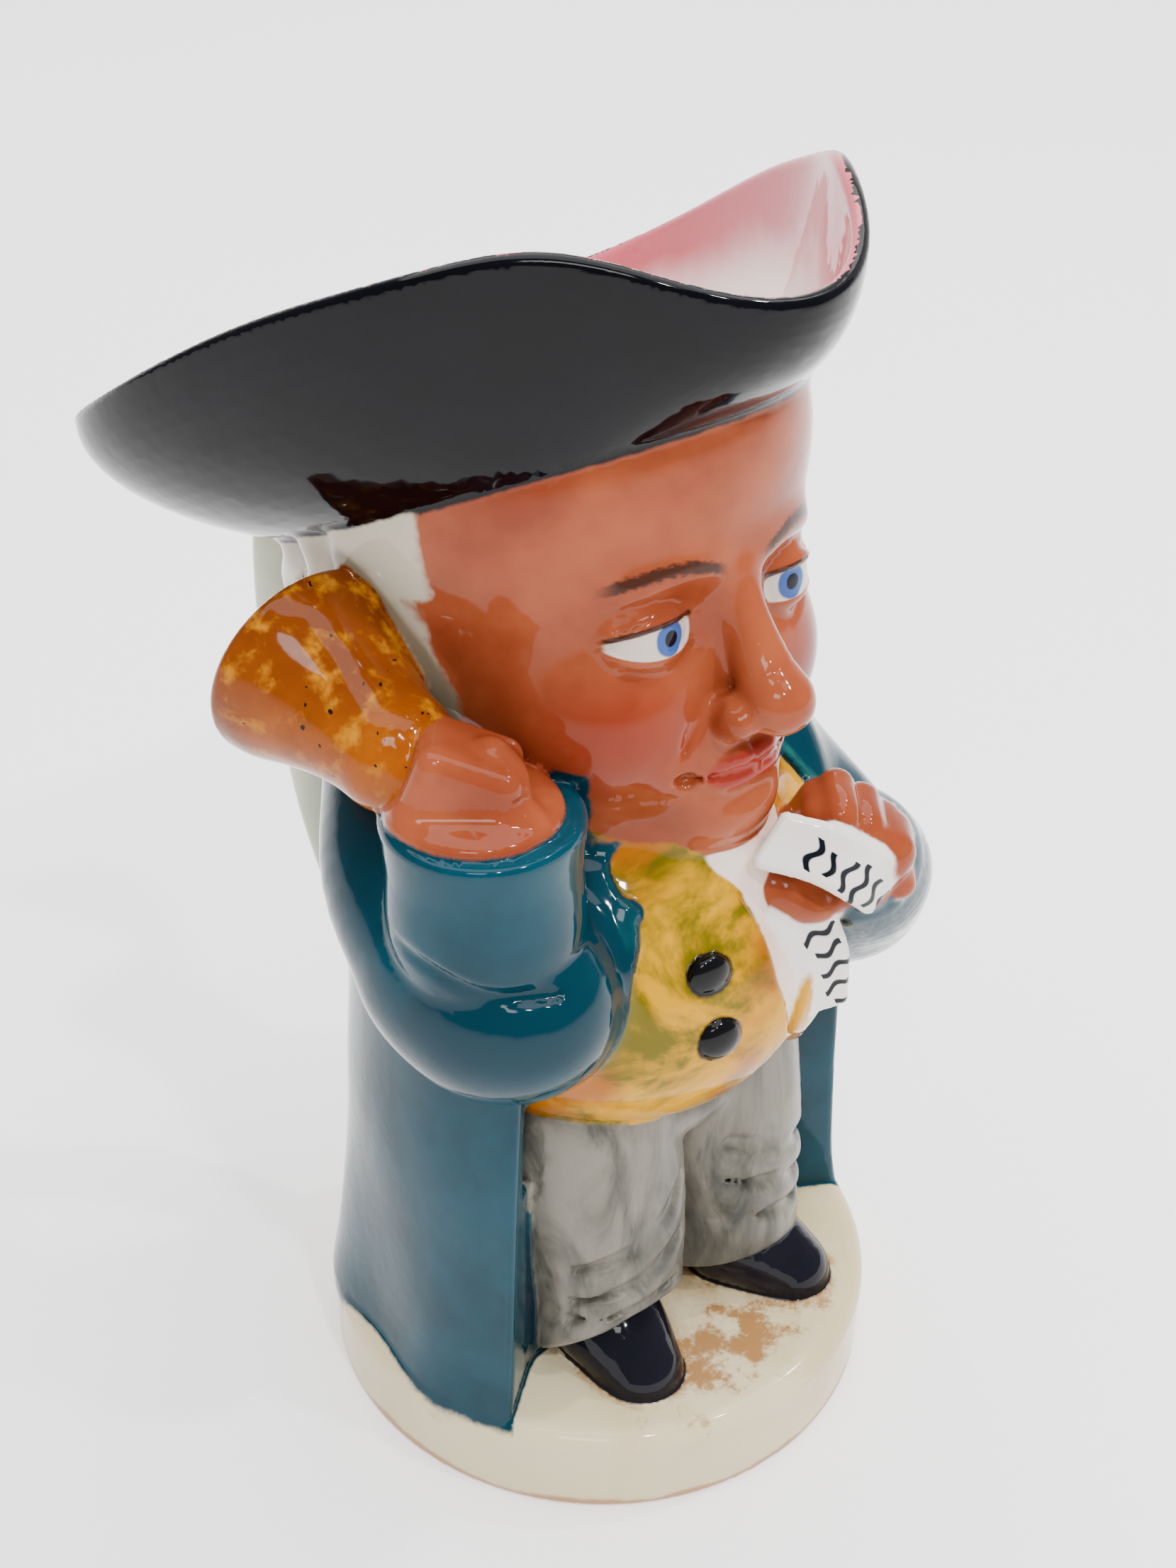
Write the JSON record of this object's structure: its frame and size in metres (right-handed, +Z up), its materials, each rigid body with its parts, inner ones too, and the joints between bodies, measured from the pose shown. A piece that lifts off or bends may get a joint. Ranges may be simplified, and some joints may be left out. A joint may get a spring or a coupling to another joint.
{
  "type": "toby jug",
  "caption": "Glazed character jug: a standing bellman in a three-cornered hat, hollow from the hat down, with a back handle.",
  "frame": {"origin": "centre of the round plinth's flat underside", "axes": "+Z up through the figure, -Y the way the figure faces, +X towards the figure's left hand"},
  "size_m": [0.1102, 0.1293, 0.2003],
  "materials": {
    "glazed_earthenware": "gloss"
  },
  "bodies": {
    "root": {"jug": "glazed_earthenware"}
  },
  "joints": []
}
